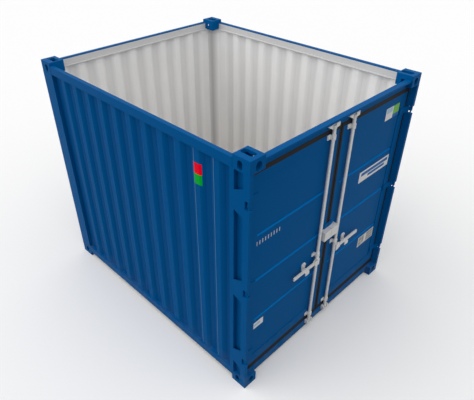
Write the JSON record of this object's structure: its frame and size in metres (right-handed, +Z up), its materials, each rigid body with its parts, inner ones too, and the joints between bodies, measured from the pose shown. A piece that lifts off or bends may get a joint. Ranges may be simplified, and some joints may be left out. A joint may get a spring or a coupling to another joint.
{
  "type": "storage container",
  "caption": "Short blue steel storage container, open at the top, with corrugated walls, corner castings and two hinged door leaves that are held by turning lock bars.",
  "frame": {"origin": "middle of the base, on the plane under the bottom castings", "axes": "+X along the length and out of the door end, +Y across to the right-hand side seen from outside the doors, +Z up"},
  "size_m": [2.991, 2.438, 2.591],
  "materials": {
    "blue_paint": "semi-gloss blue paint, light grey inside",
    "galvanised": "galvanised",
    "rubber": "matt black",
    "plywood": "coated plywood"
  },
  "bodies": {
    "frame": {"bottom_corner_castings": "blue_paint", "top_corner_castings": "blue_paint", "left_door_post": "blue_paint", "right_door_post": "blue_paint", "left_hinge_pins": "blue_paint", "right_hinge_pins": "blue_paint", "left_end_post": "blue_paint", "right_end_post": "blue_paint", "left_top_rail": "blue_paint", "right_top_rail": "blue_paint", "end_top_rail": "blue_paint", "door_header": "blue_paint", "left_bottom_rail": "blue_paint", "right_bottom_rail": "blue_paint", "end_bottom_rail": "blue_paint", "door_sill": "blue_paint", "cross_members": "blue_paint", "floor_panel": "plywood", "left_side_wall": "blue_paint", "right_side_wall": "blue_paint", "end_wall": "blue_paint", "top_keepers": "galvanised", "bottom_keepers": "galvanised"},
    "left_door": {"left_leaf_frame": "blue_paint", "left_leaf_panel": "blue_paint", "left_leaf_seal": "rubber", "left_hinge_blades": "blue_paint", "left_bar_guides": "galvanised", "left_handle_catch": "galvanised", "left_lock_box": "galvanised"},
    "right_door": {"right_leaf_frame": "blue_paint", "right_leaf_panel": "blue_paint", "right_leaf_seal": "rubber", "right_hinge_blades": "blue_paint", "right_bar_guides": "galvanised", "right_handle_catch": "galvanised", "right_lock_box": "galvanised"},
    "left_bar": {"left_lock_bar": "galvanised", "left_bar_cams": "galvanised", "left_handle_hub": "galvanised"},
    "left_handle": {"left_handle": "galvanised"},
    "right_bar": {"right_lock_bar": "galvanised", "right_bar_cams": "galvanised", "right_handle_hub": "galvanised"},
    "right_handle": {"right_handle": "galvanised"}
  },
  "joints": [
    {"name": "left_door_hinge", "type": "hinge", "parent": "frame", "child": "left_door", "pos_m": [1.4775, -1.201, 1.299], "axis": [0, 0, -1], "range_deg": [0, 265]},
    {"name": "right_door_hinge", "type": "hinge", "parent": "frame", "child": "right_door", "pos_m": [1.4775, 1.201, 1.299], "axis": [0, 0, 1], "range_deg": [0, 265]},
    {"name": "left_bar_turn", "type": "hinge", "parent": "left_door", "child": "left_bar", "pos_m": [1.4525, -0.15, 1.299], "axis": [0, 0, -1], "range_deg": [-100, 0]},
    {"name": "left_handle_lift", "type": "hinge", "parent": "left_bar", "child": "left_handle", "pos_m": [1.4705, -0.198, 1], "axis": [-1, 0, 0], "range_deg": [0, 22]},
    {"name": "right_bar_turn", "type": "hinge", "parent": "right_door", "child": "right_bar", "pos_m": [1.4525, 0.15, 1.299], "axis": [0, 0, 1], "range_deg": [-100, 0]},
    {"name": "right_handle_lift", "type": "hinge", "parent": "right_bar", "child": "right_handle", "pos_m": [1.4705, 0.198, 1], "axis": [1, 0, 0], "range_deg": [0, 22]}
  ]
}
